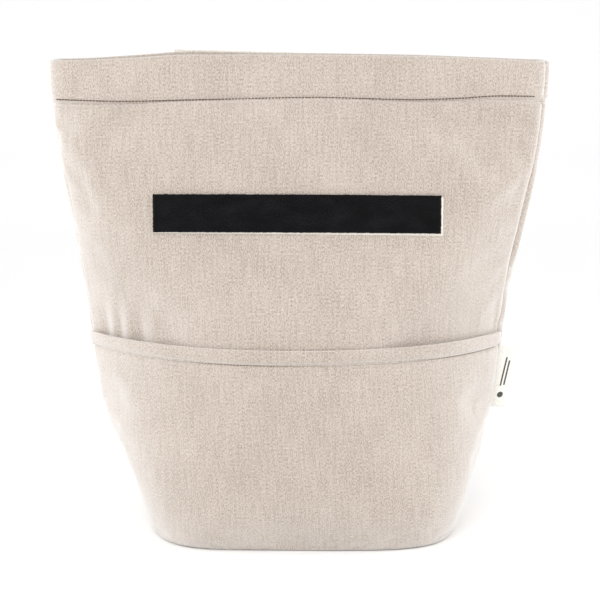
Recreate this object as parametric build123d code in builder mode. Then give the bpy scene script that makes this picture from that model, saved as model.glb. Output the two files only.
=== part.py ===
"""Roll-top canvas bag: padded walls, flat base, front pocket, and a top that rolls down twice.

The bag stands on z = 0 with its front towards -Y. The wall is built up from canvas, padding and
lining, and each layer is cut where the cloth folds, so that every folding band is its own body.
"""
import os
from collections import namedtuple
from itertools import pairwise
from math import atan2, cos, sin

from build123d import *

os.makedirs("parts", exist_ok=True)

# Outer shell: one rounded section at each height, flat at the back, joined by straight walls.
# Its front bows out between the side seams, except where the top has to fold along a straight line.
Ring = namedtuple("Ring", "height width depth corner bow")
FLOOR_RING = Ring(0, 202, 118, 24, 14)
FOOT_RING = Ring(25, 236, 134, 30, 20)
BELLY_RING = Ring(70, 264, 132, 26, 34)
WAIST_RING = Ring(130, 288, 120, 18, 48)
RIM_RING = Ring(330, 337, 52, 4, 0)
FOLD_LINE_WIDTH = 326
FOLD_LINE_CORNER = 8

# Wall layers
CANVAS = 1.2
PADDING = 3.6
LINING = 0.8

# Roll-down top, measured down the front wall from the rim
HEM_WIDTH = 26
ROLL_WIDTH = 44.5
FOLD_GAP = 1.0
WINDOW_LAP = 0.5
PLATE_CLEARANCE = 1.5

# Front pocket
POCKET_HEIGHT = 142
POCKET_MOUTH = 8

# Hook and loop tape
TAPE_LENGTH = 190
TAPE_WIDTH = 25
BACKING_BORDER = 1.2
BACKING_THICKNESS = 0.6
LOOP_PILE = 1.8
HOOK_PILE = 1.5

# Side label
LABEL_BOTTOM = 86
LABEL_TOP = 130
LABEL_REACH = 12
LABEL_THICKNESS = 0.5
LABEL_CLEARANCE = 0.6

# Shared places
POCKET_PROJECTION = CANVAS
SHELL_Y = POCKET_PROJECTION / 2
FAR = 1000
WALL = CANVAS + PADDING + LINING
LEAN = atan2((WAIST_RING.depth - RIM_RING.depth) / 2, RIM_RING.height - WAIST_RING.height)
HEM_LINE = RIM_RING.height - HEM_WIDTH * cos(LEAN)
FOLD_LINE = HEM_LINE - ROLL_WIDTH * cos(LEAN)
FOLD_SHARE = (FOLD_LINE - WAIST_RING.height) / (RIM_RING.height - WAIST_RING.height)
FOLD_RING = Ring(
    FOLD_LINE,
    FOLD_LINE_WIDTH,
    WAIST_RING.depth + FOLD_SHARE * (RIM_RING.depth - WAIST_RING.depth),
    FOLD_LINE_CORNER,
    RIM_RING.bow,
)
RINGS = [FLOOR_RING, FOOT_RING, BELLY_RING, WAIST_RING, FOLD_RING, RIM_RING]
BACK_HINGE = BELLY_RING.height
PADDED_TOP = FOLD_LINE - FOLD_GAP / 2
ROLL_BOTTOM = FOLD_LINE + FOLD_GAP / 2
ROLL_TOP = HEM_LINE - FOLD_GAP / 2
HEM_BOTTOM = HEM_LINE + FOLD_GAP / 2

# Face of the leaning back wall, with local +Y up the wall and the rim at local y = 0
BACK_FACE = Plane(
    origin=(0, SHELL_Y + RIM_RING.depth / 2, RIM_RING.height),
    x_dir=(-1, 0, 0),
    z_dir=(0, cos(LEAN), sin(LEAN)),
)


def ring_at(height):
    """The outer shell's section at any height."""
    for low, high in pairwise(RINGS):
        if height <= high.height:
            share = (height - low.height) / (high.height - low.height)
            return Ring(*(a + share * (b - a) for a, b in zip(low, high)))
    return RINGS[-1]


def heights_between(bottom, top):
    """The two heights and every ring between them."""
    return [bottom, *(ring.height for ring in RINGS if bottom < ring.height < top), top]


def section(ring, inset):
    """A ring's outline as a filled sketch, its sides set in: a bowed front, rounded corners, a flat back."""
    side = ring.width / 2 - inset
    front = -(ring.depth / 2 - inset)
    back = ring.depth / 2 - inset
    corner = ring.corner - inset
    turn = side - corner
    front_turn = front + ring.bow * (turn / side) ** 2
    slope = 2 * ring.bow * turn / side**2
    meet = front_turn + slope * corner
    with BuildSketch(Plane((0, SHELL_Y, ring.height))) as outline:
        with BuildLine():
            Bezier((-turn, front_turn), (0, 2 * front - front_turn), (turn, front_turn))
            Bezier((turn, front_turn), (side, meet), (side, meet + corner))
            Line((side, meet + corner), (side, back - corner))
            Bezier((side, back - corner), (side, back), (turn, back))
            Line((turn, back), (-turn, back))
            Bezier((-turn, back), (-side, back), (-side, back - corner))
            Line((-side, back - corner), (-side, meet + corner))
            Bezier((-side, meet + corner), (-side, meet), (-turn, front_turn))
        make_face()
    return outline.sketch


def filled(inset, bottom, top):
    """The bag as one block between two heights, its sides set in from the outer shell."""
    with BuildPart() as block:
        loft([section(ring_at(height), inset) for height in heights_between(bottom, top)], ruled=True)
    return block.part


def layer(outer_inset, inner_inset, bottom, top):
    """One layer of the wall, all the way round."""
    with BuildPart() as wall:
        add(filled(outer_inset, bottom, top))
        add(filled(inner_inset, bottom, top), mode=Mode.SUBTRACT)
    return wall.part


def back_window(bottom, top, clearance=WINDOW_LAP):
    """The space behind the flat of the back wall, where the back closes towards the front."""
    with BuildPart() as window:
        with BuildSketch(Plane.XZ.offset(-SHELL_Y)):
            heights = heights_between(bottom, top)
            right = [(ring_at(z).width / 2 - ring_at(z).corner - clearance, z) for z in heights]
            left = [(-x, z) for x, z in reversed(right)]
            with BuildLine():
                Polyline(*right, *left, close=True)
            make_face()
        extrude(amount=-FAR)
    return window.part


def keep_front():
    """Keep what lies in front of the side seams."""
    with Locations((0, SHELL_Y - FAR / 2, 0)):
        Box(FAR, FAR, FAR, mode=Mode.INTERSECT)


def keep_back():
    """Keep what lies behind the side seams."""
    with Locations((0, SHELL_Y + FAR / 2, 0)):
        Box(FAR, FAR, FAR, mode=Mode.INTERSECT)


def write(piece, name):
    """Label a finished piece and write it."""
    piece.part.label = name
    export_step(piece.part, f"parts/{name}.step")


def write_front(name, outer_inset, inner_inset, bottom, top):
    """The front panel's share of a layer, with its half of both side walls."""
    with BuildPart() as panel:
        add(layer(outer_inset, inner_inset, bottom, top))
        keep_front()
    write(panel, name)


def write_back_plate(name, outer_inset, inner_inset, bottom, top):
    """The flat of the back wall in a layer, clear of the side walls at both edges."""
    with BuildPart() as plate:
        add(layer(outer_inset, inner_inset, bottom, top))
        add(back_window(bottom, top, PLATE_CLEARANCE), mode=Mode.INTERSECT)
    write(plate, name)


def write_back_surround(name, outer_inset, inner_inset, bottom):
    """The back panel's share that stays put: both side walls and the strip below the hinge line."""
    with BuildPart() as surround:
        add(layer(outer_inset, inner_inset, bottom, PADDED_TOP))
        keep_back()
        add(back_window(BACK_HINGE, PADDED_TOP), mode=Mode.SUBTRACT)
    write(surround, name)


def write_band_sides(name, inner_inset, bottom, top):
    """The back panel's side walls in a folding band, one each side."""
    for side, direction in (("left", -1), ("right", 1)):
        with BuildPart() as strip:
            add(layer(0, inner_inset, bottom, top))
            keep_back()
            add(back_window(bottom, top), mode=Mode.SUBTRACT)
            with Locations((direction * FAR / 2, 0, 0)):
                Box(FAR, FAR, 2 * FAR, mode=Mode.INTERSECT)
        write(strip, f"{name}_{side}")


def write_front_tape(name, centre, pile):
    """A length of tape on a canvas backing, sewn to the front panel and bowed with it."""
    height = RIM_RING.height + centre * cos(LEAN)
    reach = TAPE_WIDTH / 2 * cos(LEAN)
    for label, length, under, over in (
        (f"{name}_backing", TAPE_LENGTH + 2 * BACKING_BORDER, 0, BACKING_THICKNESS),
        (name, TAPE_LENGTH, BACKING_THICKNESS, BACKING_THICKNESS + pile),
    ):
        with BuildPart() as strip:
            add(layer(-over, -under, height - reach, height + reach))
            keep_front()
            Box(length, FAR, FAR, mode=Mode.INTERSECT)
        write(strip, label)


def write_flat_tape(name, face, centre, pile):
    """A length of tape on a canvas backing, sewn flat on one wall face."""
    with BuildPart() as backing:
        with BuildSketch(face):
            with Locations((0, centre)):
                Rectangle(TAPE_LENGTH + 2 * BACKING_BORDER, TAPE_WIDTH)
        extrude(amount=BACKING_THICKNESS)
    write(backing, f"{name}_backing")
    with BuildPart() as tape:
        with BuildSketch(face.offset(BACKING_THICKNESS)):
            with Locations((0, centre)):
                Rectangle(TAPE_LENGTH, TAPE_WIDTH)
        extrude(amount=pile)
    write(tape, name)


# Base: a canvas panel and its padding, under the walls
with BuildPart() as base_panel:
    add(filled(0, 0, CANVAS))
write(base_panel, "base_panel")

with BuildPart() as base_padding:
    add(filled(CANVAS, CANVAS, CANVAS + PADDING))
write(base_padding, "base_padding")

# Padded walls, from the base to the fold line
write_front("front_panel", 0, CANVAS, CANVAS, PADDED_TOP)
write_back_surround("back_panel_sides", 0, CANVAS, CANVAS)
write_front("front_padding", CANVAS, CANVAS + PADDING, CANVAS + PADDING, PADDED_TOP)
write_back_surround("back_padding_sides", CANVAS, CANVAS + PADDING, CANVAS + PADDING)

# Lining: a tub with a floor, open at the back where the back wall moves
with BuildPart() as lining_tub:
    add(filled(CANVAS + PADDING, CANVAS + PADDING, PADDED_TOP))
    add(filled(WALL, WALL, FOLD_LINE), mode=Mode.SUBTRACT)
    add(back_window(BACK_HINGE, FOLD_LINE), mode=Mode.SUBTRACT)
write(lining_tub, "lining_tub")

# Back wall above the hinge line, which leans forward as the top rolls down
BACK_BOTTOM = BACK_HINGE + FOLD_GAP / 2
write_back_plate("back_panel", 0, CANVAS, BACK_BOTTOM, PADDED_TOP)
write_back_plate("back_padding", CANVAS, CANVAS + PADDING, BACK_BOTTOM, PADDED_TOP)
write_back_plate("back_lining", CANVAS + PADDING, WALL, BACK_BOTTOM, PADDED_TOP)

# Roll band: canvas and lining without padding, from the fold line to the hem line
write_front("roll_front_panel", 0, CANVAS, ROLL_BOTTOM, ROLL_TOP)
write_front("roll_front_lining", CANVAS, CANVAS + LINING, ROLL_BOTTOM, ROLL_TOP)
write_band_sides("roll_side", CANVAS + LINING, ROLL_BOTTOM, ROLL_TOP)
write_back_plate("roll_back_panel", 0, CANVAS, ROLL_BOTTOM, ROLL_TOP)
write_back_plate("roll_back_lining", CANVAS, CANVAS + LINING, ROLL_BOTTOM, ROLL_TOP)

# Hem band: canvas turned in double, from the hem line to the rim
write_front("hem_front", 0, 2 * CANVAS, HEM_BOTTOM, RIM_RING.height)
write_band_sides("hem_side", 2 * CANVAS, HEM_BOTTOM, RIM_RING.height)
write_back_plate("hem_back", 0, 2 * CANVAS, HEM_BOTTOM, RIM_RING.height)

# Tapes: the hook tape sits on the back of the hem, the loop tape where two rolls bring it
HOOK_CENTRE = -HEM_WIDTH / 2
LOOP_CENTRE = HOOK_CENTRE - 2 * ROLL_WIDTH
write_front_tape("loop_tape", LOOP_CENTRE, LOOP_PILE)
write_flat_tape("hook_tape", BACK_FACE, HOOK_CENTRE, HOOK_PILE)

# Front pocket: upright canvas, sewn down at the base and the side seams, open along its top
def pocket_gap(height):
    """How far the pocket stands off the front panel: nothing up to the foot, then in a straight line."""
    if height <= FOOT_RING.height:
        return 0
    rise = (height - FOOT_RING.height) / (POCKET_HEIGHT - FOOT_RING.height)
    slope_here = (FOOT_RING.depth - ring_at(height).depth) / 2
    slope_at_mouth = (FOOT_RING.depth - ring_at(POCKET_HEIGHT).depth) / 2
    return max(slope_here + rise * (POCKET_MOUTH - slope_at_mouth), 0)


def pocket_ring(height):
    """The pocket's inner section, whose front stands off the front panel and meets it at the side seams."""
    ring = ring_at(height)
    gap = pocket_gap(height)
    return ring._replace(depth=ring.depth + 2 * gap, bow=ring.bow + gap)


def pocket_block(grown):
    """The pocket's outer or inner shape as one block."""
    heights = heights_between(0, POCKET_HEIGHT)
    with BuildPart() as block:
        loft([section(pocket_ring(height), -grown) for height in heights], ruled=True)
    return block.part


with BuildPart() as pocket_panel:
    add(pocket_block(CANVAS))
    add(pocket_block(0), mode=Mode.SUBTRACT)
    keep_front()
write(pocket_panel, "pocket_panel")

# Side label: woven tape caught in the right side seam, following the wall's slope
LABEL_FOOT = ring_at(LABEL_BOTTOM).width / 2 + CANVAS + LABEL_CLEARANCE
LABEL_HEAD = ring_at(LABEL_TOP).width / 2 + CANVAS + LABEL_CLEARANCE
with BuildPart() as side_label:
    with BuildSketch(Plane.XZ.offset(-SHELL_Y)):
        with BuildLine():
            Polyline(
                (LABEL_FOOT, LABEL_BOTTOM),
                (LABEL_FOOT + LABEL_REACH, LABEL_BOTTOM),
                (LABEL_HEAD + LABEL_REACH, LABEL_TOP),
                (LABEL_HEAD, LABEL_TOP),
                close=True,
            )
        make_face()
    extrude(amount=LABEL_THICKNESS / 2, both=True)
write(side_label, "side_label")
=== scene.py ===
import math

import bpy
import numpy as np
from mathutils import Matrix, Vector, noise
from mathutils.bvhtree import BVHTree


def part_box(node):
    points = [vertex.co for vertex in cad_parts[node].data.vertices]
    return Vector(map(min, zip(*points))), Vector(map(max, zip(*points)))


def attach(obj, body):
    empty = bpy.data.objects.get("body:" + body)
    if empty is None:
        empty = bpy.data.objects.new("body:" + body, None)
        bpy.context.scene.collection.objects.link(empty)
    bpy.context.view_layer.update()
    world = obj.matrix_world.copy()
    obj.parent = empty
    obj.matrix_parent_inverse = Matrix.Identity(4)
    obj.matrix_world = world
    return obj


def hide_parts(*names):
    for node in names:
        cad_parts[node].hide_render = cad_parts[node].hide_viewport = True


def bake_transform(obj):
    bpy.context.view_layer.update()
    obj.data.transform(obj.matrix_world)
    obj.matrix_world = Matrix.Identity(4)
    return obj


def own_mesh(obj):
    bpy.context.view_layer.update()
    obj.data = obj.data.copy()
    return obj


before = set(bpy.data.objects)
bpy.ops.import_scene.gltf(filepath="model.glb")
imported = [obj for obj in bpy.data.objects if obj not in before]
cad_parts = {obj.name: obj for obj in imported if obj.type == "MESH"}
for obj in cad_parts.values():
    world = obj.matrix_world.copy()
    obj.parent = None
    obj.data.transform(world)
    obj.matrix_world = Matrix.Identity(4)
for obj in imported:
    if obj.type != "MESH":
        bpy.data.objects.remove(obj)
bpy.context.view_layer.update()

# Camera
# The bag is looked at from the height of its rim and a little down, from just over arm's length.
camera_data = bpy.data.cameras.new("camera")
camera_data.lens = 75
camera = bpy.data.objects.new("camera", camera_data)
camera.location = (0.0, -0.863, 0.331)
camera.rotation_euler = (math.radians(79), 0, 0)
bpy.context.collection.objects.link(camera)
bpy.context.scene.camera = camera
bpy.context.scene.view_settings.view_transform = "Standard"

# Studio
# A white paper sweep under and behind the bag, an even white room, and large soft lamps.
paper = bpy.data.meshes.new("paper_sweep")
PAPER_SIDE = 3.0
sweep_profile = [(-2.0, 0.0), (0.9, 0.0), (1.15, 0.03), (1.4, 0.15), (1.6, 0.4), (1.7, 0.8), (1.7, 3.0)]
paper.from_pydata(
    [(x, y, z) for y, z in sweep_profile for x in (-PAPER_SIDE, PAPER_SIDE)],
    [],
    [(2 * i, 2 * i + 1, 2 * i + 3, 2 * i + 2) for i in range(len(sweep_profile) - 1)],
)
for face in paper.polygons:
    face.use_smooth = True
paper_finish = bpy.data.materials.new("white_paper")
paper_finish.use_nodes = True
paper_skin = paper_finish.node_tree.nodes["Principled BSDF"]
paper_skin.inputs["Base Color"].default_value = (0.93, 0.93, 0.93, 1)
paper_skin.inputs["Roughness"].default_value = 0.9
paper.materials.append(paper_finish)
paper_sweep = bpy.data.objects.new("paper_sweep", paper)
bpy.context.collection.objects.link(paper_sweep)

room = bpy.data.worlds.new("white_room")
room.use_nodes = True
room.node_tree.nodes["Background"].inputs["Color"].default_value = (1, 1, 1, 1)
room.node_tree.nodes["Background"].inputs["Strength"].default_value = 0.85
bpy.context.scene.world = room


def softbox(name, place, aim, size, power):
    """A large square lamp that faces one point."""
    lamp = bpy.data.lights.new(name, "AREA")
    lamp.energy = power
    lamp.size = size
    holder = bpy.data.objects.new(name, lamp)
    holder.location = place
    holder.rotation_mode = "QUATERNION"
    holder.rotation_quaternion = (Vector(aim) - Vector(place)).to_track_quat("-Z", "Y")
    bpy.context.collection.objects.link(holder)


softbox("key_lamp", place=(-0.35, -1.2, 1.2), aim=(0, 0, 0.17), size=0.9, power=8.5)
softbox("left_edge_lamp", place=(-1.1, -0.15, 0.5), aim=(0, 0, 0.18), size=0.6, power=5)
softbox("right_edge_lamp", place=(1.1, -0.15, 0.5), aim=(0, 0, 0.18), size=0.6, power=6)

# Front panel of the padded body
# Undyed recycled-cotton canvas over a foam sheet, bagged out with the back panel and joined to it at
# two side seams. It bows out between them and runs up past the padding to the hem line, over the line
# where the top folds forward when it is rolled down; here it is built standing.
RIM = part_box("hem_front")[1].z
HEM_LINE = (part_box("hem_front")[0].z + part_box("roll_front_panel")[1].z) / 2
FOLD_LINE = (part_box("roll_front_panel")[0].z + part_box("front_panel")[1].z) / 2
hem_low, roll_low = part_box("hem_front")[0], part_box("roll_front_panel")[0]
MIDDLE = (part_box("front_panel")[0].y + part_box("back_panel_sides")[1].y) / 2
LEAN = math.atan2(hem_low.y - roll_low.y, hem_low.z - roll_low.z)
FRONT_AT_RIM = hem_low.y + (RIM - hem_low.z) * math.tan(LEAN)
OUTWARD = Vector((0, -math.cos(LEAN), math.sin(LEAN)))
UPWARD = Vector((0, math.sin(LEAN), math.cos(LEAN)))
CANVAS = 0.0012
PADDING = 0.0036
LINING = 0.0008
SHAPE_HEIGHTS = np.array([0.0, 0.004, 0.012, 0.030, 0.083, 0.142, 0.171, 0.238, 0.290, 0.330])
HALF_WIDTHS = np.array([0.1058, 0.1073, 0.1108, 0.1163, 0.1344, 0.1458, 0.1490, 0.1587, 0.1654, 0.1682])
SIDE_SHIFTS = np.array(
    [0.0025, 0.0024, 0.0023, 0.0022, -0.0010, -0.0021, -0.0025, -0.0006, -0.0006, -0.0003]
)
POWER_HEIGHTS = np.array([0.0, 0.030, 0.080, 0.142, 0.229, 0.262, 0.330])
FRONT_ACROSS = np.array([4.8, 4.2, 3.0, 2.2, 2.5, 2.8, 3.2])
FRONT_FORWARD = np.array([2.5, 2.3, 1.7, 1.25, 3.0, 4.0, 5.0])
BACK_SQUARENESS = np.array([4.5, 4.5, 4.4, 4.4, 5.2, 6.0, 6.0])
DEPTH_HEIGHTS = np.array([0.0, 0.004, 0.012, 0.030, 0.075, 0.110, 0.150])
HALF_DEPTHS = np.array([0.0570, 0.0592, 0.0622, 0.0660, 0.0665, 0.0645, 0.0622])
SEAM_HEIGHTS = np.array([0.0, 0.100, 0.142, 0.171, 0.200, 0.247, 0.330])
SEAM_SHARES = np.array([0.0, 0.05, 0.08, 0.135, 0.29, 0.47, 0.54])
LEFT_SEAM = 0.45
BULGE_ENDS = (0.130, 0.195)
WAVE_PLACES = np.array([-0.165, -0.120, -0.060, 0.010, 0.075, 0.105, 0.130, 0.165])
HEM_WAVES = np.array([-0.0010, -0.0020, -0.0008, 0.0005, -0.0008, 0.0, 0.0014, 0.0008])
DROOP_PLACES = np.array([-0.170, -0.150, -0.110, -0.075, 0.0, 0.080, 0.120, 0.170])
RIM_DROOPS = np.array([0.0043, 0.0040, 0.0022, 0.0002, 0.0003, 0.0014, 0.0028, 0.0049])
HEM_RISE = 0.0030
DROOP_REACH = 0.04
JOIN = 0.006
BASE_EDGE = 0.0008
FOOT_TOP = 0.020
FOOT_ROW = 0.0015
PANEL_ROW = 0.0020
FRONT_COLUMNS = 220
SECTION_STEPS = 1600
CLOTH_STEPS = 20
CUT_OVER = 0.012
FRONT_BUCKLE = 0.0022
PADDING_TAPER = 0.012


def smooth_curve(x, xs, ys):
    """A curve through the given points that never overshoots them."""
    step, slope = np.diff(xs), np.diff(ys) / np.diff(xs)
    tangent = np.concatenate([[slope[0]], np.zeros(len(xs) - 2), [slope[-1]]])
    same = slope[:-1] * slope[1:] > 0
    tangent[1:-1][same] = 2 * slope[:-1][same] * slope[1:][same] / (slope[:-1] + slope[1:])[same]
    i = np.clip(np.searchsorted(xs, x) - 1, 0, len(step) - 1)
    t = (x - xs[i]) / step[i]
    return (
        ys[i] * (1 + 2 * t) * (1 - t) ** 2
        + tangent[i] * step[i] * t * (1 - t) ** 2
        + ys[i + 1] * t * t * (3 - 2 * t)
        - tangent[i + 1] * step[i] * t * t * (1 - t)
    )


def ease(x, low, high):
    """0 below low, 1 above high, and smooth between."""
    t = np.clip((x - low) / (high - low), 0, 1)
    return t * t * (3 - 2 * t)


def bell(x, middle, width):
    """1 in the middle, and falling smoothly to nothing on both sides."""
    return np.exp(-(((x - middle) / width) ** 2))


def half_depth(z):
    """Half the bag's depth: round at the foot, then straight up to the rim."""
    straight = (MIDDLE - FRONT_AT_RIM) + (RIM - z) * math.tan(LEAN)
    low = smooth_curve(np.minimum(z, DEPTH_HEIGHTS[-1]), DEPTH_HEIGHTS, HALF_DEPTHS)
    return low + (straight - low) * ease(z, *BULGE_ENDS)


def outline(z, grow=0.0):
    """The wall's section at one height, moved out by grow: half width, half depth, how square the
    front's sides and middle are, and how square the back is. Low values bow the front like a lens."""
    width = smooth_curve(z, SHAPE_HEIGHTS, HALF_WIDTHS)
    across = smooth_curve(z, POWER_HEIGHTS, FRONT_ACROSS)
    forward = smooth_curve(z, POWER_HEIGHTS, FRONT_FORWARD)
    back = smooth_curve(z, POWER_HEIGHTS, BACK_SQUARENESS)
    return width + grow, half_depth(z) + grow, across, forward, back


def seam_angle(z):
    """Where the side seam lies on the cross-section, 0 at mid-side and a quarter turn at the front."""
    share = smooth_curve(z, SEAM_HEIGHTS, SEAM_SHARES)
    return math.asin(max(share, 0) ** (smooth_curve(z, POWER_HEIGHTS, FRONT_FORWARD) / 2))


def cross_section(z, shape, start, end, columns):
    """Evenly spaced points along the bag's cross-section at one height, between two angles."""
    a, b, across, forward, back = shape
    phi = np.linspace(start, end, SECTION_STEPS)
    in_front = np.sin(phi) > 0
    side_power = np.where(in_front, 2 / across, 2 / back)
    face_power = np.where(in_front, 2 / forward, 2 / back)
    x = a * np.sign(np.cos(phi)) * np.abs(np.cos(phi)) ** side_power
    x += smooth_curve(z, SHAPE_HEIGHTS, SIDE_SHIFTS)
    y = MIDDLE - b * np.sign(np.sin(phi)) * np.abs(np.sin(phi)) ** face_power
    run = np.concatenate([[0], np.cumsum(np.hypot(np.diff(x), np.diff(y)))])
    at = np.linspace(0, run[-1], columns)
    points = np.stack([np.interp(at, run, x), np.interp(at, run, y), np.full(columns, z)], 1)
    return points, at - run[-1] / 2


def grid_faces(rows, columns):
    """The four-cornered faces of a grid of points that are numbered row by row."""
    starts = (a for r in range(rows - 1) for a in range(r * columns, (r + 1) * columns - 1))
    return [(a, a + 1, a + columns + 1, a + columns) for a in starts]


def length_along(points):
    """How far along a line of points each one is."""
    return np.concatenate([[0], np.cumsum(np.linalg.norm(np.diff(points, axis=0), axis=1))])


def outward_normals(grid):
    """Unit normals of a grid of points whose columns run to its right and rows run up."""
    normal = np.cross(np.gradient(grid, axis=1), np.gradient(grid, axis=0))
    return normal / np.maximum(np.linalg.norm(normal, axis=2, keepdims=True), 1e-12)


def moved_out(grid, distance):
    """A wall's points moved out from its face, or in where the distance is negative."""
    return grid + outward_normals(grid) * np.asarray(distance)[..., None]


def wall_rows(heights, side, columns, shape=outline):
    """Rows of points on the front or back wall, still even, and each point's place in the cloth."""
    rows, places = [], []
    for z in heights:
        seam = seam_angle(z)
        left = LEFT_SEAM * seam
        ends = (math.pi - left, seam) if side == "front" else (seam, -math.pi - left)
        row, along = cross_section(z, shape(z), *ends, columns)
        rows.append(row)
        places.append(np.stack([along, np.full(columns, z)], 1))
    return np.array(rows), np.array(places)


def rim_shift(grid):
    """How far soft cloth drops or rises near the rim: low at both ends, with the back a little high."""
    x, y, z = grid[..., 0], grid[..., 1], grid[..., 2]
    drop = smooth_curve(np.clip(x, -0.17, 0.17), DROOP_PLACES, RIM_DROOPS)
    back = ease(y, -0.012, 0.018) * (0.0012 + 0.0012 * bell(x, -0.085, 0.055))
    low = HEM_LINE - DROOP_REACH
    return (back - drop) * ease(z, low, RIM) + HEM_RISE * ease(z, HEM_LINE, RIM)


def ripple(p):
    """How far the soft wall stands off its even shape at a point."""
    broad = noise.noise(Vector((p[0] / 0.11, p[1] / 0.11 + 3.1, p[2] / 0.09)))
    small = noise.noise(Vector((p[0] / 0.035 + 7.7, p[1] / 0.035, p[2] / 0.05)))
    return 0.0016 * broad + 0.0005 * small


def buckled(grid, grow, reach):
    """How far each point moves outwards when cloth cut a little larger than its outline settles."""
    rows = np.unique(np.linspace(0, grid.shape[0] - 1, 56).astype(int))
    columns = np.unique(np.linspace(0, grid.shape[1] - 1, 72).astype(int))
    coarse = grid[np.ix_(rows, columns)]
    count = len(columns)
    mesh = bpy.data.meshes.new("settling")
    mesh.from_pydata(coarse.reshape(-1, 3).tolist(), [], grid_faces(len(rows), count))
    piece = bpy.data.objects.new("settling", mesh)
    bpy.context.collection.objects.link(piece)
    sewn = piece.vertex_groups.new(name="sewn")
    index = np.arange(coarse.shape[0] * count).reshape(-1, count)
    held = np.concatenate([index[:, 0], index[:, -1], index[0], index[-1]])
    sewn.add([int(i) for i in held], 1.0, "REPLACE")
    settings = piece.modifiers.new("cloth", "CLOTH").settings
    settings.quality = 6
    settings.mass = 0.15
    settings.tension_stiffness = 25
    settings.compression_stiffness = 25
    settings.shear_stiffness = 12
    settings.bending_stiffness = 1.5
    settings.shrink_min = -grow
    settings.use_pressure = True
    settings.uniform_pressure_force = 0.4
    settings.effector_weights.gravity = 0.0
    settings.vertex_group_mass = "sewn"
    for frame_number in range(1, CLOTH_STEPS + 1):
        bpy.context.scene.frame_set(frame_number)
    settled = piece.evaluated_get(bpy.context.evaluated_depsgraph_get()).data
    points = np.empty(len(settled.vertices) * 3)
    settled.vertices.foreach_get("co", points)
    moved = ((points.reshape(coarse.shape) - coarse) * outward_normals(coarse)).sum(2)
    bpy.data.objects.remove(piece)
    bpy.context.scene.frame_set(1)
    moved = reach * np.tanh(moved / reach)
    across = np.array([np.interp(np.arange(grid.shape[1]), columns, row) for row in moved])
    along = [np.interp(np.arange(grid.shape[0]), rows, column) for column in across.T]
    return np.array(along).T


def groove(grid, line, depth, width):
    """How far a line of stitching pulls the cloth in, at the height the line has at each point."""
    return -depth * bell(grid[..., 2], line, width)


def tuck_seams(grid, reach=0.004, depth=0.0016):
    """Roll both side edges of a panel inwards, where the seam pulls them in."""
    out = outward_normals(grid)
    for order in (np.arange(grid.shape[1]), np.arange(grid.shape[1])[::-1]):
        run = np.linalg.norm(grid[:, order] - grid[:, order[:1]], axis=2)
        grid[:, order] -= out[:, order] * (depth * (1 - ease(run, 0, reach)))[..., None]
    return grid


def add_piece(name, vertices, faces, flat, finish):
    """A smooth piece of the visual model; flat says where each point lies in the cloth or thread."""
    mesh = bpy.data.meshes.new(name)
    mesh.from_pydata(np.asarray(vertices).tolist(), [], faces)
    mesh.polygons.foreach_set("use_smooth", [True] * len(mesh.polygons))
    place = mesh.attributes.new("cloth_place", "FLOAT_VECTOR", "POINT")
    place.data.foreach_set("vector", np.asarray(flat).astype(np.float32).ravel())
    mesh.materials.append(finish)
    piece = bpy.data.objects.new(name, mesh)
    bpy.context.collection.objects.link(piece)
    return piece


def cloth(name, grid, places, thickness, finish, cut=()):
    """A closed piece of cloth: its outer face, an inner face below it, and rounded raw edges. An end
    named in cut, "low" or "high", is left square, as the same cloth goes on in the next piece."""
    rows, columns = grid.shape[:2]
    depth = np.broadcast_to(thickness, (rows, columns))[..., None]
    inner = grid - outward_normals(grid) * depth
    border = [(0, c) for c in range(columns)]
    border += [(r, columns - 1) for r in range(1, rows)]
    border += [(rows - 1, c) for c in range(columns - 2, -1, -1)]
    border += [(r, 0) for r in range(rows - 2, 0, -1)]
    edge = []
    for r, c in border:
        square = (r == 0 and "low" in cut) or (r == rows - 1 and "high" in cut)
        away = grid[r, c] - grid[min(max(r, 1), rows - 2), min(max(c, 1), columns - 2)]
        away = away / max(np.linalg.norm(away), 1e-9)
        edge.append((grid[r, c] + inner[r, c]) / 2 + away * depth[r, c] * (0 if square else 0.45))
    vertices = np.concatenate([grid.reshape(-1, 3), inner.reshape(-1, 3), np.array(edge)])
    flat = np.concatenate([places.reshape(-1, 2)] * 2 + [np.array([places[r, c] for r, c in border])])
    faces = []
    size = rows * columns
    for a, b, c, d in grid_faces(rows, columns):
        faces.append((a, b, c, d))
        faces.append((size + a, size + d, size + c, size + b))
    for k, (r, c) in enumerate(border):
        r2, c2 = border[(k + 1) % len(border)]
        top, top2 = r * columns + c, r2 * columns + c2
        mid, mid2 = 2 * size + k, 2 * size + (k + 1) % len(border)
        faces.append((top2, top, mid, mid2))
        faces.append((mid2, mid, size + top, size + top2))
    piece = add_piece(name, vertices, faces, np.pad(flat, ((0, 0), (0, 1))), finish)
    square_rows = {"low": 0, "high": rows - 1}
    sharp = {square_rows[end] for end in cut}
    ends = {r * columns + c + layer for r in sharp for c in range(columns) for layer in (0, size)}
    for line in piece.data.edges:
        line.use_edge_sharp = line.vertices[0] in ends and line.vertices[1] in ends
    return piece


def node(tree, kind, x, y, **settings):
    """A new shader node with its settings."""
    made = tree.nodes.new(kind)
    made.location = (x, y)
    for key, value in settings.items():
        setattr(made, key, value)
    return made


def arithmetic(tree, operation, first, second=None, third=None):
    """A maths node fed by sockets or numbers, and its output."""
    made = node(tree, "ShaderNodeMath", 0, 0, operation=operation)
    for i, value in enumerate((first, second, third)):
        if isinstance(value, (int, float)):
            made.inputs[i].default_value = value
        elif value is not None:
            tree.links.new(value, made.inputs[i])
    return made.outputs[0]


def bare_finish(name, roughness, specular):
    """A new material, with its node tree and its skin."""
    finish = bpy.data.materials.new(name)
    finish.use_nodes = True
    skin = finish.node_tree.nodes["Principled BSDF"]
    skin.inputs["Roughness"].default_value = roughness
    skin.inputs["Specular IOR Level"].default_value = specular
    return finish, finish.node_tree, skin


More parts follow.
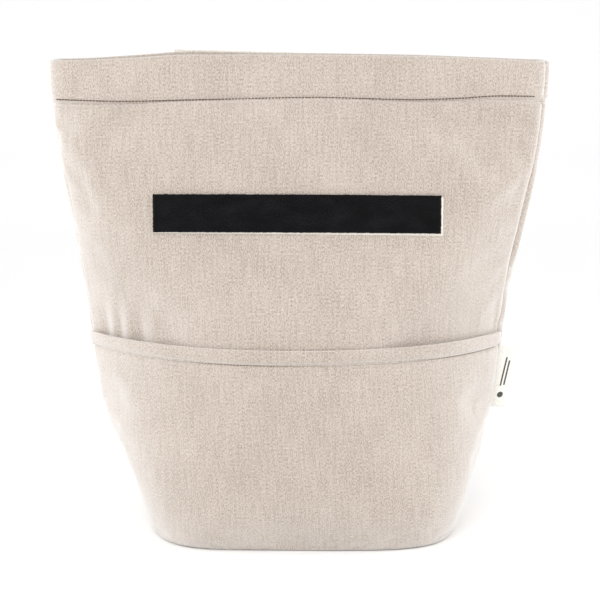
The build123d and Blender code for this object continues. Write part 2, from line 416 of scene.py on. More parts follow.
def shaded(tree, source, dark, light, low=0.0, high=1.0):
    """A colour that goes from dark to light as its source goes from low to high."""
    ramp = node(tree, "ShaderNodeValToRGB", -300, 0)
    first, last = ramp.color_ramp.elements
    first.color, last.color = (*dark, 1), (*light, 1)
    first.position, last.position = low, high
    tree.links.new(source, ramp.inputs[0])
    return ramp.outputs["Color"]


def roughen(tree, skin, height, strength, depth):
    """Give a skin the relief of a height."""
    bump = node(tree, "ShaderNodeBump", -300, -300)
    bump.inputs["Strength"].default_value = strength
    bump.inputs["Distance"].default_value = depth
    tree.links.new(height, bump.inputs["Height"])
    tree.links.new(bump.outputs[0], skin.inputs["Normal"])


def noise_over(tree, place, scale, stretch=(1, 1), detail=1.0):
    """Smooth noise over the cloth, stretched across and along it."""
    mapping = node(tree, "ShaderNodeMapping", -600, 0)
    mapping.inputs["Scale"].default_value = (scale * stretch[0], scale * stretch[1], scale)
    tree.links.new(place, mapping.inputs["Vector"])
    made = node(tree, "ShaderNodeTexNoise", -400, 0)
    made.inputs["Scale"].default_value = 1.0
    made.inputs["Detail"].default_value = detail
    tree.links.new(mapping.outputs[0], made.inputs["Vector"])
    return made.outputs["Fac"]


def plain_weave():
    """Threads going over and under each other, with slubs: their height, and patches of shade."""
    group = bpy.data.node_groups.new("plain_weave", "ShaderNodeTree")
    face = group.interface
    face.new_socket("Place", in_out="INPUT", socket_type="NodeSocketVector")
    for title, value in (("Thread", 0.0012), ("Unevenness", 0.35)):
        face.new_socket(title, in_out="INPUT", socket_type="NodeSocketFloat").default_value = value
    for title in ("Height", "Streaks", "Mottle", "Flecks"):
        face.new_socket(title, in_out="OUTPUT", socket_type="NodeSocketFloat")
    into = node(group, "NodeGroupInput", -900, 0)
    out = node(group, "NodeGroupOutput", 900, 0)
    place = into.outputs["Place"]

    def step(operation, *values):
        return arithmetic(group, operation, *values)

    split = node(group, "ShaderNodeSeparateXYZ", -700, 200)
    group.links.new(place, split.inputs[0])
    drift = step("SUBTRACT", noise_over(group, place, 260), 0.5)
    wander = step("MULTIPLY", drift, into.outputs["Unevenness"])
    across = step("ADD", step("DIVIDE", split.outputs[0], into.outputs["Thread"]), wander)
    up = step("ADD", step("DIVIDE", split.outputs[1], into.outputs["Thread"]), wander)
    warp = step("ABSOLUTE", step("SINE", step("MULTIPLY", across, math.pi)))
    weft = step("ABSOLUTE", step("SINE", step("MULTIPLY", up, math.pi)))
    crossing = step("ADD", step("FLOOR", across), step("FLOOR", up))
    over = step("MODULO", step("ADD", crossing, 1000.0), 2.0)
    warp_top = step("MULTIPLY", warp, step("MULTIPLY_ADD", weft, 0.6, 0.4))
    weft_top = step("MULTIPLY", weft, step("MULTIPLY_ADD", warp, 0.6, 0.4))
    under = step("SUBTRACT", 1.0, over)
    height = step("ADD", step("MULTIPLY", warp_top, over), step("MULTIPLY", weft_top, under))
    upright = noise_over(group, place, 700, (1, 0.07), 2)
    level = noise_over(group, place, 700, (0.07, 1), 2)
    streaks = step("MULTIPLY_ADD", upright, 0.82, step("MULTIPLY", level, 0.18))
    group.links.new(step("MULTIPLY_ADD", streaks, 0.8, height), out.inputs["Height"])
    group.links.new(streaks, out.inputs["Streaks"])
    group.links.new(noise_over(group, place, 28, (1, 0.8), 4), out.inputs["Mottle"])
    group.links.new(noise_over(group, place, 1500, (1, 0.5)), out.inputs["Flecks"])
    return group


WEAVE = plain_weave()


def woven_cotton(name, dark, light, thread, strength, depth):
    """Undyed cotton cloth: pale yarn with painted shade in the gaps of the weave, streaks of slub and a
    dry, fuzzy surface, its colour painted paler where it is seen at a slant as a painted sheen.
    """
    finish, tree, skin = bare_finish(name, 0.92, 0.15)
    link = tree.links.new
    skin.inputs["Sheen Weight"].default_value = 0.35
    skin.inputs["Sheen Roughness"].default_value = 0.5
    place = node(tree, "ShaderNodeAttribute", -1200, 0, attribute_name="cloth_place")
    weave = node(tree, "ShaderNodeGroup", -1000, 0, node_tree=WEAVE)
    weave.inputs["Thread"].default_value = thread
    link(place.outputs["Vector"], weave.inputs["Place"])

    def about_zero(output, gain):
        centred = arithmetic(tree, "SUBTRACT", weave.outputs[output], 0.5)
        return arithmetic(tree, "MULTIPLY", centred, gain)

    patches = arithmetic(tree, "ADD", about_zero("Streaks", 0.55), about_zero("Mottle", 0.6))
    # Painted shade: the weave's height also sets the colour, so the crowns of the yarn are lighter and
    # the gaps between them darker; the flecks added to it are the yarn's own specks.
    gap_shade_and_flecks = arithmetic(tree, "MULTIPLY_ADD", weave.outputs["Height"], 0.75, -0.06)
    gap_shade_and_flecks = arithmetic(tree, "ADD", about_zero("Flecks", 2.8), gap_shade_and_flecks)
    shade = arithmetic(tree, "ADD", patches, gap_shade_and_flecks)
    # Painted sheen: the colour is mixed towards a pale cream where the cloth is seen at a slant,
    # standing in for the light its fuzz catches at the edges from the white room.
    grazing = node(tree, "ShaderNodeLayerWeight", -500, 300)
    grazing.inputs["Blend"].default_value = 0.5
    fuzz = node(tree, "ShaderNodeMix", -100, 0, data_type="RGBA")
    link(arithmetic(tree, "POWER", grazing.outputs["Facing"], 1.6), fuzz.inputs["Factor"])
    link(shaded(tree, shade, dark, light, 0.05, 0.95), fuzz.inputs["A"])
    fuzz.inputs["B"].default_value = (0.93, 0.91, 0.885, 1)
    link(fuzz.outputs["Result"], skin.inputs["Base Color"])
    roughen(tree, skin, weave.outputs["Height"], strength, depth)
    return finish


CANVAS_CLOTH = woven_cotton(
    "canvas", (0.40, 0.326, 0.273), (0.695, 0.608, 0.537), thread=0.0008, strength=0.7, depth=0.0005
)


def rows_between(bottom, top, spacing):
    """Evenly spaced heights."""
    return np.linspace(bottom, top, max(int(round((top - bottom) / spacing)) + 1, 3))


def soften(grid):
    """Give an even wall its ripples and the droop of the rim."""
    offset = np.array([[ripple(p) for p in row] for row in grid])
    moved = moved_out(grid, offset)
    moved[..., 2] += rim_shift(grid)
    return moved


def hem_line_at(x):
    """Height of the stitch line below the rim, which wanders a little as hand-guided sewing does."""
    return HEM_LINE + smooth_curve(np.clip(x, -0.165, 0.165), WAVE_PLACES, HEM_WAVES)


def panel_rows(top, spacing):
    """Heights up a panel, closer together round its foot."""
    foot = rows_between(BASE_EDGE, FOOT_TOP, FOOT_ROW)
    return np.concatenate([foot, rows_between(FOOT_TOP + 0.002, top, spacing)])


# Each flute above the pocket has a place across, a half width and a depth.
FLUTES = (
    (-0.137, 0.0042, 0.0020),
    (-0.126, 0.0034, 0.0018),
    (-0.110, 0.0050, 0.0018),
    (0.138, 0.0030, 0.0014),
)
FLUTE_FOOT = (0.105, 0.128)
FLUTE_HEAD = (0.140, 0.178)
CREST_SHARE = 0.5
CREST_PLACE = 2.1
front_heights = panel_rows(HEM_LINE - JOIN, PANEL_ROW)
grid, places = wall_rows(front_heights, "front", FRONT_COLUMNS)
front_offset = buckled(grid, CUT_OVER, FRONT_BUCKLE)
for middle, width, depth in FLUTES:
    up = ease(grid[..., 2], *FLUTE_FOOT) * (1 - ease(grid[..., 2], *FLUTE_HEAD))
    front_offset -= depth * bell(grid[..., 0], middle, width) * up
    front_offset += CREST_SHARE * depth * bell(grid[..., 0], middle + CREST_PLACE * width, width) * up
grid = tuck_seams(soften(moved_out(grid, front_offset)))
front_outer = grid.copy()


def padded_thickness(grid, places):
    """Canvas and foam together; the foam thins out at the side seams and below the fold line."""
    share = 1 - ease(grid[..., 2], FOLD_LINE - PADDING_TAPER, FOLD_LINE)
    edge_run = np.abs(places[..., 0]).max(1, keepdims=True) - np.abs(places[..., 0])
    return CANVAS + PADDING * share * ease(edge_run, 0.0, PADDING_TAPER)


thickness = padded_thickness(grid, places)
front_panel = cloth("front_panel_cloth", grid, places, thickness, CANVAS_CLOTH, cut=("high",))
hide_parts("front_panel", "front_padding", "roll_front_panel")
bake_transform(front_panel)

# Back panel of the padded body
# The same canvas over foam, wrapping both sides as far as the side seams. When the bag is rolled shut
# the top of the back leans forward and takes the cloth of the sides with it; here the panel is built
# standing.
BACK_COLUMNS = 260
BACK_ROW = 0.0022
BACK_BUCKLE = 0.0025
back_heights = panel_rows(FOLD_LINE, BACK_ROW)
grid, places = wall_rows(back_heights, "back", BACK_COLUMNS)
grid = tuck_seams(soften(moved_out(grid, buckled(grid, CUT_OVER, BACK_BUCKLE))))
thickness = padded_thickness(grid, places)
back_panel = cloth("back_panel_cloth", grid, places, thickness, CANVAS_CLOTH, cut=("high",))
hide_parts("back_panel_sides", "back_padding_sides", "back_panel", "back_padding")


def lean_weights():
    """Two points between which the back wall would go from standing still to leaning with its hinge;
    nothing in this script uses them.
    """
    depth = float(half_depth(FOLD_LINE))
    still_top = np.array([MIDDLE - SEAM_SHARES[-1] * depth, FOLD_LINE])
    still_low = np.array([MIDDLE + float(half_depth(0.06)), 0.06])
    moving = np.array([MIDDLE + 0.93 * depth, FOLD_LINE])
    along = (still_low - still_top) / np.linalg.norm(still_low - still_top)
    across = (moving - still_top) - along * ((moving - still_top) @ along)
    return Vector((0, *still_top)), Vector((0, *(still_top + across)))


LEAN_START, LEAN_END = lean_weights()
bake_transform(back_panel)

# Back of the roll band
# The back panel's canvas and lining go on above the padding, round the back and both sides. When the
# top is rolled down they lie flat against the front.
LINING_CLOTH = woven_cotton(
    "lining_cotton", (0.56, 0.50, 0.42), (0.78, 0.73, 0.65), thread=0.0006, strength=0.4, depth=0.0003
)
roll_heights = rows_between(FOLD_LINE, HEM_LINE - JOIN, 0.0020)
grid, places = wall_rows(roll_heights, "back", BACK_COLUMNS)
grid = tuck_seams(soften(grid))
roll_back = cloth("roll_back_cloth", grid, places, CANVAS, CANVAS_CLOTH, cut=("low", "high"))
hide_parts("roll_side_left", "roll_side_right", "roll_back_panel")
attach(roll_back, "roll_band")
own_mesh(roll_back)


grid, places = wall_rows(roll_heights, "back", 160)
grid = moved_out(soften(grid), -(CANVAS + 0.0003))
roll_lining = cloth("roll_back_lining_cloth", grid, places, LINING, LINING_CLOTH)
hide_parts("roll_back_lining")
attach(roll_lining, "roll_band")
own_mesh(roll_lining)

# Rim hem
# The canvas is turned in double along the rim and stitched down, so it stands a little proud above a
# sunken line of stitches. It is cut at the side seams into a front and a back length.
HEM_THICKNESS = 0.0030
HEM_PUFF = 0.0009


def turned_hem(
    side, columns, turn, line, shape=outline, low=HEM_LINE - JOIN, top=RIM, thickness=HEM_THICKNESS
):
    """The outer face of a turned-in hem: rows that go up the wall, over its edge and down inside to
    the height turn. It is sewn along line."""
    fine = rows_between(low, low + 0.014, 0.0006)
    up = np.concatenate([fine, rows_between(low + 0.015, top - thickness / 2, 0.0015)])
    wall, places = wall_rows(up, side, columns, shape)
    sewn = line(wall[..., 0])
    rise = np.clip((wall[..., 2] - sewn) / (top - sewn), 0, 1)
    puff = HEM_PUFF * np.sin(math.pi * np.clip(rise, 0, 1)) ** 0.6 + groove(wall, sewn, 0.0016, 0.0014)
    ripples = np.array([[ripple(p) for p in row] for row in wall])
    out = outward_normals(wall)
    face = wall + out * (puff + ripples)[..., None]
    side_up = wall[-1] - wall[-2]
    side_up = side_up / np.linalg.norm(side_up, axis=1, keepdims=True)
    over = []
    for angle in np.linspace(0.25, math.pi - 0.25, 9):
        reach = thickness / 2
        bend = out[-1] * (math.cos(angle) - 1) * reach + side_up * math.sin(angle) * reach
        over.append(face[-1] + bend)
    inner = (wall + out * (ripples - puff * 0.5 - thickness)[..., None])[wall[:, 0, 2] > turn][::-1]
    grid = np.concatenate([face, np.array(over), inner])
    run = length_along(grid[:, columns // 2])
    along = np.tile(places[-1, :, 0], (len(grid) - len(face), 1))
    across = np.concatenate([places[:, :, 0], along])
    flat = np.stack([across, np.broadcast_to(low + run[:, None], across.shape)], 2)
    shifted = grid.copy()
    shifted[..., 2] += rim_shift(grid)
    return shifted, flat


HEM_TURN = HEM_LINE - 0.001
grid, places = turned_hem("front", FRONT_COLUMNS, HEM_TURN, hem_line_at)
hem_front_outer = grid.copy()
grid = tuck_seams(grid)
hem_front = cloth("hem_front_cloth", grid, places, CANVAS, CANVAS_CLOTH, cut=("low",))
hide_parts("hem_front")
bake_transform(hem_front)

grid, places = turned_hem("back", BACK_COLUMNS, HEM_TURN, hem_line_at)
hem_back_outer = grid.copy()
grid = tuck_seams(grid)
hem_back = cloth("hem_back_cloth", grid, places, CANVAS, CANVAS_CLOTH, cut=("low",))
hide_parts("hem_side_left", "hem_side_right", "hem_back")
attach(hem_back, "hem_band")
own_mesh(hem_back)

# Stitching of the rim hem
# Cotton thread in machine stitches that sink into the cloth at both ends. Its dark brown is partly the
# thread's own colour and partly painted shade of the groove it lies in.
STITCH = 0.0022
THREAD_RADIUS = 0.00042


def sewing_thread(name, colour):
    """Twisted thread: two plies that wind round each other."""
    finish, tree, skin = bare_finish(name, 0.85, 0.1)
    place = node(tree, "ShaderNodeAttribute", -900, 0, attribute_name="cloth_place")
    twist = node(tree, "ShaderNodeTexWave", -700, 0)
    twist.inputs["Scale"].default_value = 900
    twist.inputs["Distortion"].default_value = 2.0
    tree.links.new(place.outputs["Vector"], twist.inputs["Vector"])
    shade = shaded(tree, twist.outputs["Fac"], [c * 0.6 for c in colour], colour)
    tree.links.new(shade, skin.inputs["Base Color"])
    roughen(tree, skin, twist.outputs["Fac"], 0.5, 0.0001)
    return finish


# Painted shade: the hem thread's dark brown also stands in for the shadow in the groove it is sewn
# into.
BROWN_THREAD_AND_GROOVE_SHADE = sewing_thread("brown_thread_and_groove_shade", (0.15, 0.095, 0.062))


def stitch_row(name, line, outs, finish, pitch=STITCH, radius=THREAD_RADIUS):
    """Machine stitches along a line of points, each a short arched length of thread."""
    line, outs = np.asarray(line), np.asarray(outs)
    run = length_along(line)
    vertices, faces, flat = [], [], []
    sides = 6
    for start in np.arange(0.3 * pitch, run[-1] - pitch, pitch):
        first = len(vertices)
        steps = np.linspace(0, 1, 7)
        at = start + steps * pitch * 0.98
        centre = np.stack([np.interp(at, run, line[:, i]) for i in range(3)], 1)
        out = np.stack([np.interp(at, run, outs[:, i]) for i in range(3)], 1)
        along = np.gradient(centre, axis=0)
        along /= np.linalg.norm(along, axis=1, keepdims=True)
        side = np.cross(along, out)
        side /= np.linalg.norm(side, axis=1, keepdims=True)
        arch = radius * (1.7 * np.sin(math.pi * steps) - 0.9)
        thick = radius * (0.45 + 0.55 * np.sin(math.pi * steps) ** 0.5)
        for k in range(len(steps)):
            for turn in range(sides):
                angle = 2 * math.pi * turn / sides
                around = side[k] * math.cos(angle) + out[k] * math.sin(angle)
                vertices.append(centre[k] + out[k] * arch[k] + around * thick[k])
                flat.append((at[k], angle * radius, 0))
        for k in range(len(steps) - 1):
            for turn in range(sides):
                a, b = first + k * sides + turn, first + k * sides + (turn + 1) % sides
                faces.append((a, b, b + sides, a + sides))
        faces.append(tuple(first + turn for turn in range(sides))[::-1])
        faces.append(tuple(first + (len(steps) - 1) * sides + turn for turn in range(sides)))
    return add_piece(name, vertices, faces, flat, finish)


def line_on(grid, height_at, rows, trim):
    """The points of a soft wall, among its first rows, that lie on a line of stitching."""
    outs = outward_normals(grid)
    points, normals = [], []
    for c in range(trim, grid.shape[1] - trim):
        column = grid[:rows, c]
        z = height_at(column[0, 0])
        points.append([np.interp(z, column[:, 2], column[:, i]) for i in range(3)])
        normals.append([np.interp(z, column[:, 2], outs[:rows, c, i]) for i in range(3)])
    return np.array(points), np.array(normals)


line, outs = line_on(hem_front_outer, hem_line_at, 26, 5)
hem_stitches = stitch_row("hem_front_stitches", line, outs, BROWN_THREAD_AND_GROOVE_SHADE)
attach(hem_stitches, "hem_band")
line, outs = line_on(hem_back_outer, hem_line_at, 26, 5)
back_stitches = stitch_row("hem_back_stitches", line, outs, BROWN_THREAD_AND_GROOVE_SHADE)
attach(back_stitches, "hem_band")
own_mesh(back_stitches)

# Mouth facing and lining
# A canvas facing lines the front where the top folds. Below it a thin plain-woven cotton lining covers
# the padding on all sides and on the floor, and is caught in the seams.
FACING_BOTTOM = 0.216
LINING_TOP = 0.222
WALL = CANVAS + PADDING + LINING
UNDER_PADDING = CANVAS + PADDING + 0.0003
grid, places = wall_rows(rows_between(FACING_BOTTOM, HEM_LINE + 0.002, 0.0025), "front", 140)
past_padding = ease(grid[..., 2], FOLD_LINE - 0.010, FOLD_LINE + 0.004)
depth = WALL + 0.0004 + (CANVAS - WALL - 0.0001) * past_padding
grid = moved_out(soften(grid), -depth)
facing = cloth("mouth_facing", grid, places, 0.0010, CANVAS_CLOTH)
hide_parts("roll_front_lining")
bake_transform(facing)

lining_heights = rows_between(WALL + 0.001, LINING_TOP, 0.004)
grid, places = wall_rows(lining_heights, "front", 120)
grid = moved_out(soften(grid), -UNDER_PADDING)
lining_front = cloth("lining_front_cloth", grid, places, LINING * 0.9, LINING_CLOTH)
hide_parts("lining_tub")
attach(lining_front, "root")
grid, places = wall_rows(rows_between(WALL + 0.001, FOLD_LINE, 0.004), "back", 150)
grid = moved_out(soften(grid), -UNDER_PADDING)
lining_back = cloth("lining_back_cloth", grid, places, LINING * 0.9, LINING_CLOTH)
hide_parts("back_lining")
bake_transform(lining_back)


def floor_rows(z, grow, count=70, columns=110):
    """Rows of points that fill the bag's outline at one height, running from its front to its back."""
    a, b, across, forward, back = outline(z, grow)
    rows = []
    reach = math.pi / 2 * 0.94
    for share in 0.996 * np.sin(np.linspace(-reach, reach, count)) / math.sin(reach):
        inner, outer = (forward, across) if share < 0 else (back, back)
        half = a * (1 - abs(share) ** inner) ** (1 / outer)
        x = np.linspace(-half, half, columns) + smooth_curve(z, SHAPE_HEIGHTS, SIDE_SHIFTS)
        rows.append(np.stack([x, np.full(columns, MIDDLE + share * b), np.full(columns, z)], 1))
    return np.array(rows)


grid = floor_rows(CANVAS + PADDING + LINING, -WALL + 0.0003)
lift = np.array([[0.0012 * noise.noise(Vector(p) / 0.03) for p in row] for row in grid]) + 0.0008
grid[..., 2] += lift
floor_lining = cloth("lining_floor_cloth", grid, grid[..., :2], LINING * 0.9, LINING_CLOTH)
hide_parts("base_padding")
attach(floor_lining, "root")

# Base panel
# One flat panel of canvas under the foam floor, sewn to the walls round its edge.
grid = floor_rows(0.0, 0.0004)[::-1]
edge_x, edge_y = np.abs(grid[..., 0]) / HALF_WIDTHS[0], np.abs(grid[..., 1] - MIDDLE) / HALF_DEPTHS[0]
lift = np.array([[0.0003 + 0.0003 * noise.noise(Vector(p) / 0.05) for p in row] for row in grid])
grid[..., 2] = lift * (1 - ease(np.maximum(edge_x, edge_y), 0.9, 1.0))
base_panel = cloth("base_panel_cloth", grid, grid[..., :2], CANVAS, CANVAS_CLOTH)
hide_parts("base_panel")
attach(base_panel, "root")

# Front pocket
# A wide panel of the same canvas laid over the front, caught in the base and the side seams. Its top
# edge is turned in 10 mm and stitched, and it stands a little open.
POCKET_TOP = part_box("pocket_panel")[1].z
POCKET_HEM = 0.0100
POCKET_FRONT = 0.0672
POCKET_CLOTH = 0.0009
POCKET_ROW = 0.0022
POCKET_BUCKLE = 0.0018
POCKET_CUT_OVER = 0.010


def pocket_outline(z):
    """The pocket's section: on the front panel at the foot, and standing off it towards the mouth."""
    a, b, *powers = outline(z, CANVAS)
    return a, np.maximum(b, POCKET_FRONT) if z > 0.03 else b, *powers


def pocket_line_at(x):
    """Height of the pocket's stitch line."""
    return POCKET_TOP - POCKET_HEM + 0.0004 * np.sin(np.asarray(x) * 41.0)


up = panel_rows(0.122, POCKET_ROW)
lower, lower_places = wall_rows(up, "front", FRONT_COLUMNS, pocket_outline)
offsets = np.array([[ripple(p) for p in row] for row in lower])
offsets += buckled(lower, POCKET_CUT_OVER, POCKET_BUCKLE)
lower = moved_out(lower, offsets)
grid, places = turned_hem(
    "front",
    FRONT_COLUMNS,
    shape=pocket_outline,
    low=0.1235,
    top=POCKET_TOP,
    thickness=0.0022,
    turn=POCKET_TOP - POCKET_HEM - 0.0005,
    line=pocket_line_at,
)
grid = np.concatenate([lower, grid])
places = np.concatenate([lower_places, places])
pocket_outer = grid.copy()
grid = tuck_seams(grid, depth=0.0008)
pocket = cloth("pocket_cloth", grid, places, POCKET_CLOTH, CANVAS_CLOTH)
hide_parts("pocket_panel")
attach(pocket, "root")
line, outs = line_on(pocket_outer[len(up):], pocket_line_at, 24, 3)
TAN_THREAD = sewing_thread("tan_thread", (0.25, 0.165, 0.11))
pocket_stitches = stitch_row("pocket_stitches", line, outs, TAN_THREAD, radius=0.00034)
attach(pocket_stitches, "root")

# Loop tape
# A length of black loop tape with a brushed pile on a cream backing, sewn flat to the front panel.
TAPE_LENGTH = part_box("loop_tape")[1].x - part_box("loop_tape")[0].x
TAPE_WIDTH = 0.025
LOOP_CENTRE = (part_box("loop_tape")[0].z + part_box("loop_tape")[1].z) / 2
PILE_HEIGHT = 0.0016
BACKING = 0.0006
TAPE_TILT = math.radians(0.3)


def pile_finish(name, dark, light, fuzz):
    """Black pile: fine fibres that catch a little light, uneven where they have been brushed."""
    finish, tree, skin = bare_finish(name, 0.95, 0.1)
    skin.inputs["Sheen Weight"].default_value = 0.08
    place = node(tree, "ShaderNodeAttribute", -900, 0, attribute_name="cloth_place")
    fibres = noise_over(tree, place.outputs["Vector"], fuzz, (1, 0.7), 3)
    brushed = noise_over(tree, place.outputs["Vector"], 90, (0.6, 1), 2)
    brushed = arithmetic(tree, "MULTIPLY_ADD", brushed, 0.6, -0.75)
    shade = arithmetic(tree, "MULTIPLY_ADD", fibres, 1.5, brushed)
    tree.links.new(shaded(tree, shade, dark, light, low=0.2), skin.inputs["Base Color"])
    roughen(tree, skin, fibres, 0.8, 0.0005)
    return finish


LOOP_PILE = pile_finish("loop_pile", (0.0015, 0.0015, 0.002), (0.022, 0.020, 0.022), 1700)
BACKING_COTTON = woven_cotton(
    "backing_cotton", (0.66, 0.60, 0.52), (0.88, 0.84, 0.77), thread=0.0005, strength=0.4, depth=0.0002
)


def surface_of(grid):
    """A wall's points as a surface that can be asked where a line meets it."""
    return BVHTree.FromPolygons(grid.reshape(-1, 3).tolist(), grid_faces(*grid.shape[:2]))


def strip_axes(outward, upward, tilt):
    """Which way a tilted strip runs across and up, seen from outside."""
    across = Vector((1, 0, 0)) if outward.y < 0 else Vector((-1, 0, 0))
    right = across * math.cos(tilt) - upward * math.sin(tilt)
    return right, upward * math.cos(tilt) + across * math.sin(tilt)


def laid_on(surface, centre, outward, upward, size, count, lift, tilt=0.0):
    """Rows of points of a flat strip laid on a wall: evenly spaced, and lifted off it."""
    right, rise = strip_axes(outward, upward, tilt)
    rows, places = [], []
    for v in np.linspace(-size[1] / 2, size[1] / 2, count[1]):
        row, spots = [], []
        for u in np.linspace(-size[0] / 2, size[0] / 2, count[0]):
            above = centre + right * u + rise * v + outward * 0.03
            hit = surface.ray_cast(above, -outward)[0] or (above - outward * 0.03)
            row.append(hit + outward * lift)
            spots.append((u, v))
        rows.append(row)
        places.append(spots)
    return np.array([[tuple(p) for p in row] for row in rows]), np.array(places)


front_surface = surface_of(front_outer)
tape_centre = Vector((-0.0020, FRONT_AT_RIM - (RIM - LOOP_CENTRE) * math.tan(LEAN), LOOP_CENTRE))
grid, places = laid_on(
    front_surface, tape_centre - UPWARD * 0.0008 + Vector((0.0009, 0, 0)), OUTWARD, UPWARD,
    (TAPE_LENGTH + 0.0010, TAPE_WIDTH), (160, 20), BACKING + 0.0001, TAPE_TILT * 1.9,
)
loop_backing = cloth("loop_tape_backing_cloth", grid, places, BACKING, BACKING_COTTON)
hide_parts("loop_tape_backing")
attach(loop_backing, "root")


def tufted(grid, places, size, height):
    """Raise a pile over a strip: lower at its woven edges, and uneven."""
    inset = np.minimum(size[0] / 2 - np.abs(places[..., 0]), size[1] / 2 - np.abs(places[..., 1]))
    tufts = np.array([[noise.noise(Vector((p[0], p[1], 0)) / 0.0011) for p in row] for row in places])
    pile = height * (0.72 + 0.28 * ease(inset, 0.0, 0.0012)) + 0.00018 * tufts
    return moved_out(grid, pile)


grid, places = laid_on(
    front_surface, tape_centre, OUTWARD, UPWARD, (TAPE_LENGTH, TAPE_WIDTH - 0.0004), (340, 48),
    BACKING + 0.0001, TAPE_TILT,
)
grid = tufted(grid, places, (TAPE_LENGTH, TAPE_WIDTH), PILE_HEIGHT)
loop_tape = cloth("loop_tape_pile", grid, places, PILE_HEIGHT * 0.9, LOOP_PILE)
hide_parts("loop_tape")
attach(loop_tape, "root")
BLACK_THREAD = sewing_thread("black_thread", (0.008, 0.008, 0.009))


def stitched_border(name, grid, inset, finish, body):
    """A line of stitches round a strip, a set number of points in from its edge."""
    outs = outward_normals(grid)
    rows, columns = grid.shape[:2]
    loop = [(inset, c) for c in range(inset, columns - inset)]
    loop += [(r, columns - 1 - inset) for r in range(inset, rows - inset)]
    loop += [(rows - 1 - inset, c) for c in range(columns - 1 - inset, inset - 1, -1)]
    loop += [(r, inset) for r in range(rows - 1 - inset, inset - 1, -1)]
    line, normals = [grid[p] for p in loop], [outs[p] for p in loop]
    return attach(stitch_row(name, line, normals, finish, radius=0.00012), body)


stitched_border("loop_tape_stitches", grid, 4, BLACK_THREAD, "root")

# Hook tape
# Black hook tape on its own cream backing, sewn to the outside of the hem at the back, where two turns
# of the roll bring it onto the loop tape. One end stands a little above the rim.
hook_low, hook_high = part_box("hook_tape")
BACK_OUTWARD = Vector((0, -OUTWARD.y, OUTWARD.z))
BACK_UPWARD = Vector((0, -UPWARD.y, UPWARD.z))
HOOK_TILT = math.radians(-1.4)
hook_centre = Vector((0, (hook_low.y + hook_high.y) / 2, (hook_low.z + hook_high.z) / 2))
hook_centre += BACK_UPWARD * (HEM_RISE + 0.0006)
HOOK_PILE = pile_finish("hook_pile", (0.003, 0.003, 0.0035), (0.04, 0.04, 0.042), 1100)


def flat_strip(centre, outward, upward, size, count, tilt):
    """Rows of points of a flat strip, not laid on anything."""
    right, rise = strip_axes(outward, upward, tilt)
    us, vs = (np.linspace(-length / 2, length / 2, n) for length, n in zip(size, count))
    grid = np.array([[tuple(centre + right * u + rise * v) for u in us] for v in vs])
    return grid, np.array([[(u, v) for u in us] for v in vs])


face_y = MIDDLE + (MIDDLE - FRONT_AT_RIM)
hook_plane = Vector((0.008, face_y + (RIM - hook_centre.z) * math.tan(LEAN), hook_centre.z))
grid, places = flat_strip(
    hook_plane + BACK_OUTWARD * 0.0026, BACK_OUTWARD, BACK_UPWARD,
    (TAPE_LENGTH + 0.002, TAPE_WIDTH), (80, 16), HOOK_TILT,
)
hook_backing = cloth("hook_tape_backing_cloth", grid, places, BACKING, BACKING_COTTON)
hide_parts("hook_tape_backing")
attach(hook_backing, "hem_back")
grid, places = flat_strip(
    hook_plane + BACK_OUTWARD * 0.0027 - BACK_UPWARD * 0.0009, BACK_OUTWARD, BACK_UPWARD,
    (TAPE_LENGTH, TAPE_WIDTH), (300, 44), HOOK_TILT,
)
grid = tufted(grid, places, (TAPE_LENGTH, TAPE_WIDTH), 0.0013)
hook_tape = cloth("hook_tape_pile", grid, places, 0.0012, HOOK_PILE)
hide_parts("hook_tape")
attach(hook_tape, "hem_back")
stitched_border("hook_tape_stitches", grid, 4, BLACK_THREAD, "hem_back")

# Side label
# A short length of off-white woven tape, folded double and caught in the right side seam. It is marked
# only with plain bars and a dot.
label_low, label_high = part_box("side_label")
LABEL_INSET = 0.0026
LABEL_SHIFT = -0.0024


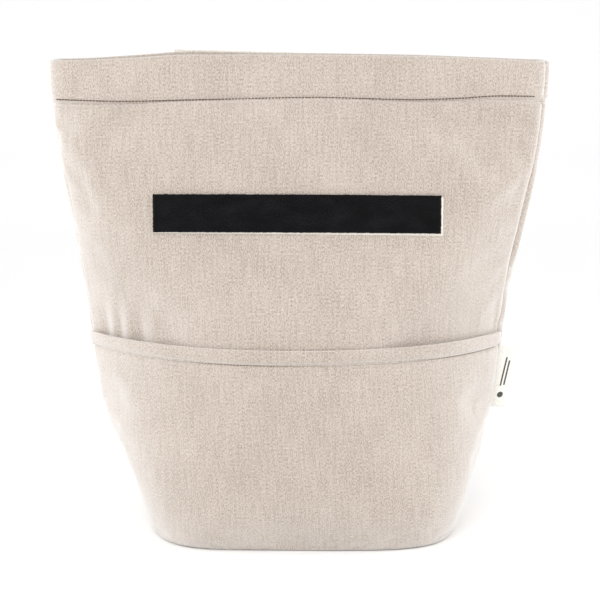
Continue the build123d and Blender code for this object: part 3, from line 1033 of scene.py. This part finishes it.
def label_finish():
    """Fine satin-woven tape with a printed pattern of bars and a dot."""
    finish = woven_cotton(
        "label_tape", (0.74, 0.72, 0.66), (0.92, 0.90, 0.85), thread=0.00035, strength=0.3, depth=0.0001
    )
    tree = finish.node_tree
    place = node(tree, "ShaderNodeAttribute", -900, 500, attribute_name="cloth_place")
    split = node(tree, "ShaderNodeSeparateXYZ", -700, 500)
    tree.links.new(place.outputs["Vector"], split.inputs[0])

    def within(value, middle, reach):
        return arithmetic(tree, "COMPARE", value, middle, reach)

    def both(first, second):
        return arithmetic(tree, "MULTIPLY", first, second)

    across, up = split.outputs[0], split.outputs[1]
    long_bar = both(within(across, 0.0052, 0.0006), within(up, 0.0255, 0.0105))
    short_bar = both(within(across, 0.0076, 0.0006), within(up, 0.0245, 0.0090))
    reach = node(tree, "ShaderNodeVectorMath", -500, 600, operation="DISTANCE")
    reach.inputs[1].default_value = (0.0064, 0.0085, 0)
    tree.links.new(place.outputs["Vector"], reach.inputs[0])
    dot = arithmetic(tree, "LESS_THAN", reach.outputs["Value"], 0.0021)
    marks = arithmetic(tree, "MAXIMUM", arithmetic(tree, "MAXIMUM", long_bar, short_bar), dot)
    mix = node(tree, "ShaderNodeMix", -100, 300, data_type="RGBA")
    tree.links.new(marks, mix.inputs["Factor"])
    tree.links.new(tree.nodes["Color Ramp"].outputs["Color"], mix.inputs["A"])
    mix.inputs["B"].default_value = (0.09, 0.085, 0.075, 1)
    tree.links.new(mix.outputs["Result"], tree.nodes["Principled BSDF"].inputs["Base Color"])
    return finish


def label_rows(count=(20, 40)):
    """The label's front face, from the seam to its fold, slanting with the wall."""
    foot = label_low.x - LABEL_INSET
    slant = (label_high.x - 0.012) - label_low.x
    rows, places = [], []
    for v in np.linspace(0, 1, count[1]):
        row, spots = [], []
        for u in np.linspace(0, 1, count[0]):
            x = foot + slant * v + u * (0.012 + LABEL_INSET) + LABEL_SHIFT
            curl = 0.0016 * u * u * math.sin(2.6 * v + 0.3) - 0.0008 * u
            row.append((x, MIDDLE - 0.00035 + curl, label_low.z + (label_high.z - label_low.z) * v))
            spots.append((u * (0.012 + LABEL_INSET) - LABEL_INSET, v * (label_high.z - label_low.z)))
        rows.append(row)
        places.append(spots)
    return np.array(rows), np.array(places)


grid, places = label_rows()
label = cloth("side_label_tape", grid, places, 0.0006, label_finish())
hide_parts("side_label")
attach(label, "label")
